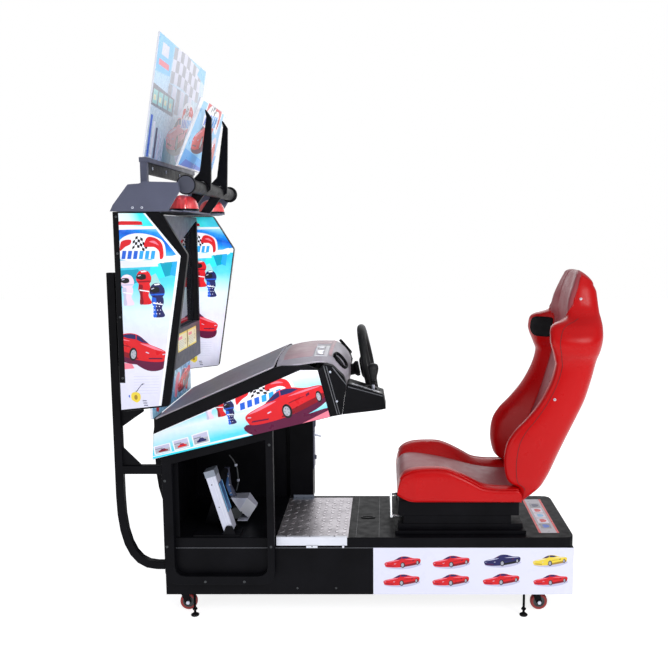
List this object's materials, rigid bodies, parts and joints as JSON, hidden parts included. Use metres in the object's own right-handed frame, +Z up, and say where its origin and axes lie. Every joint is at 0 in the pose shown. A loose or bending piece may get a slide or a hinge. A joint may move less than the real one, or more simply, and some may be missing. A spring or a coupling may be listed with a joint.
{
  "type": "sit-down racing cabinet",
  "caption": "Sit-down arcade driving cabinet: bucket seat on a low base, pedals, steering wheel, gear lever and a tall screen tower with wings and topper.",
  "frame": {"origin": "on the floor, under the centre of the bounding box", "axes": "+Z up; +X from the screen towards the back of the seat; +Y to the driver's right"},
  "size_m": [1.858, 0.88, 2.175],
  "materials": {
    "black_steel": "satin powder coat",
    "black_plastic": "fine grain",
    "wing_board": "laminated board, black edge",
    "grey_steel": "satin powder coat",
    "bezel_plastic": "fine grain",
    "moulded_grey": "vacuum-formed grain",
    "printed_board": "printed acrylic",
    "tread_plate": "checker plate",
    "zinc_steel": "zinc plated",
    "red_tread": "satin",
    "red_lens": "clear tinted lens",
    "screen_glass": "gloss",
    "button_white": "gloss",
    "grip_rubber": "satin grain",
    "red_vinyl": "gloss vinyl"
  },
  "bodies": {
    "root": {"base_frame": "black_steel", "base_skirt": "black_steel", "deck": "black_steel", "pedestal_shell": "black_steel", "coin_box": "black_steel", "seat_base": "black_steel", "pedal_bracket": "black_steel", "monitor_housing": "black_steel", "rear_cover": "black_steel", "steering_column": "black_steel", "side_frame_left": "black_steel", "side_frame_right": "black_steel", "upright_left": "black_steel", "upright_right": "black_steel", "topper_fin_left": "black_steel", "topper_fin_right": "black_steel", "topper_tube": "black_plastic", "dash_body": "black_plastic", "shifter_console": "black_plastic", "lcd_monitor": "black_plastic", "speaker_board": "black_plastic", "wing_left": "wing_board", "wing_right": "wing_board", "canopy": "grey_steel", "header_holder": "grey_steel", "screen_bezel": "bezel_plastic", "dash_cover": "moulded_grey", "dash_hood": "moulded_grey", "topper_sign": "printed_board", "header_board": "printed_board", "neck_panel": "printed_board", "footwell_plate": "tread_plate", "levelling_foot_front_left": "zinc_steel", "levelling_foot_front_right": "zinc_steel", "levelling_foot_rear_left": "zinc_steel", "levelling_foot_rear_right": "zinc_steel", "dome_lamp_left": "red_lens", "dome_lamp_right": "red_lens", "screen_glass": "screen_glass"},
    "steering_wheel": {"steering_wheel": "grip_rubber"},
    "gear_lever": {"gear_lever": "grip_rubber"},
    "brake_pedal": {"brake_pedal": "zinc_steel"},
    "throttle_pedal": {"throttle_pedal": "zinc_steel"},
    "seat": {"seat_carriage": "black_steel", "seat_cushion": "red_vinyl", "seat_back": "red_vinyl"},
    "seat_lever": {"seat_lever": "black_steel"},
    "coin_door": {"coin_door": "grey_steel"},
    "coin_return": {"coin_return": "zinc_steel"},
    "start_button": {"start_button": "button_white"},
    "view_button": {"view_button": "button_white"},
    "caster_fork_front_left": {"caster_fork_front_left": "black_steel"},
    "caster_wheel_front_left": {"caster_wheel_front_left": "red_tread"},
    "caster_fork_front_right": {"caster_fork_front_right": "black_steel"},
    "caster_wheel_front_right": {"caster_wheel_front_right": "red_tread"},
    "caster_fork_rear_left": {"caster_fork_rear_left": "black_steel"},
    "caster_wheel_rear_left": {"caster_wheel_rear_left": "red_tread"},
    "caster_fork_rear_right": {"caster_fork_rear_right": "black_steel"},
    "caster_wheel_rear_right": {"caster_wheel_rear_right": "red_tread"}
  },
  "joints": [
    {"name": "steering", "type": "hinge", "parent": "root", "child": "steering_wheel", "pos_m": [0.024, 0, 0.953], "axis": [0.9814, 0, 0.1918], "range_deg": [-135, 135]},
    {"name": "gear_shift", "type": "hinge", "parent": "root", "child": "gear_lever", "pos_m": [0.046, -0.245, 0.866], "axis": [0, 1, 0], "range_deg": [-11, 11], "stiffness_Nm_per_rad": 8},
    {"name": "brake", "type": "hinge", "parent": "root", "child": "brake_pedal", "pos_m": [-0.512, -0.197, 0.352], "axis": [0, -1, 0], "range_deg": [0, 13], "stiffness_Nm_per_rad": 90, "springref_deg": -2.86},
    {"name": "throttle", "type": "hinge", "parent": "root", "child": "throttle_pedal", "pos_m": [-0.547, -0.075, 0.541], "axis": [0, 1, 0], "range_deg": [0, 10], "stiffness_Nm_per_rad": 25, "springref_deg": -5.73},
    {"name": "seat_slide", "type": "slide", "parent": "root", "child": "seat", "axis": [1, 0, 0], "range_m": [-0.09, 0.06]},
    {"name": "seat_release", "type": "hinge", "parent": "seat", "child": "seat_lever", "pos_m": [0.19, 0, 0.372], "axis": [0, 1, 0], "range_deg": [0, 12], "stiffness_Nm_per_rad": 12, "springref_deg": -5.73},
    {"name": "coin_door_hinge", "type": "hinge", "parent": "root", "child": "coin_door", "pos_m": [-0.2237, 0.294, 0.58], "axis": [0, 0, 1], "range_deg": [0, 105]},
    {"name": "coin_return_press", "type": "hinge", "parent": "coin_door", "child": "coin_return", "pos_m": [-0.2222, 0.256, 0.602], "axis": [0, 1, 0], "range_deg": [0, 10], "stiffness_Nm_per_rad": 0.6, "springref_deg": -2.86},
    {"name": "start_press", "type": "slide", "parent": "root", "child": "start_button", "axis": [0, 0, -1], "range_m": [0, 0.003], "stiffness_N_per_m": 400, "springref_m": -0.001},
    {"name": "view_press", "type": "slide", "parent": "root", "child": "view_button", "axis": [0, 0, -1], "range_m": [0, 0.003], "stiffness_N_per_m": 400, "springref_m": -0.001},
    {"name": "caster_swivel_front_left", "type": "hinge", "parent": "root", "child": "caster_fork_front_left", "pos_m": [-0.702, -0.182, 0.085], "axis": [0, 0, 1], "continuous": true},
    {"name": "caster_roll_front_left", "type": "hinge", "parent": "caster_fork_front_left", "child": "caster_wheel_front_left", "pos_m": [-0.688, -0.182, 0.04], "axis": [0, 1, 0], "continuous": true},
    {"name": "caster_swivel_front_right", "type": "hinge", "parent": "root", "child": "caster_fork_front_right", "pos_m": [-0.702, 0.182, 0.085], "axis": [0, 0, 1], "continuous": true},
    {"name": "caster_roll_front_right", "type": "hinge", "parent": "caster_fork_front_right", "child": "caster_wheel_front_right", "pos_m": [-0.688, 0.182, 0.04], "axis": [0, 1, 0], "continuous": true},
    {"name": "caster_swivel_rear_left", "type": "hinge", "parent": "root", "child": "caster_fork_rear_left", "pos_m": [0.686, -0.182, 0.085], "axis": [0, 0, 1], "continuous": true},
    {"name": "caster_roll_rear_left", "type": "hinge", "parent": "caster_fork_rear_left", "child": "caster_wheel_rear_left", "pos_m": [0.7, -0.182, 0.04], "axis": [0, 1, 0], "continuous": true},
    {"name": "caster_swivel_rear_right", "type": "hinge", "parent": "root", "child": "caster_fork_rear_right", "pos_m": [0.686, 0.182, 0.085], "axis": [0, 0, 1], "continuous": true},
    {"name": "caster_roll_rear_right", "type": "hinge", "parent": "caster_fork_rear_right", "child": "caster_wheel_rear_right", "pos_m": [0.7, 0.182, 0.04], "axis": [0, 1, 0], "continuous": true}
  ]
}
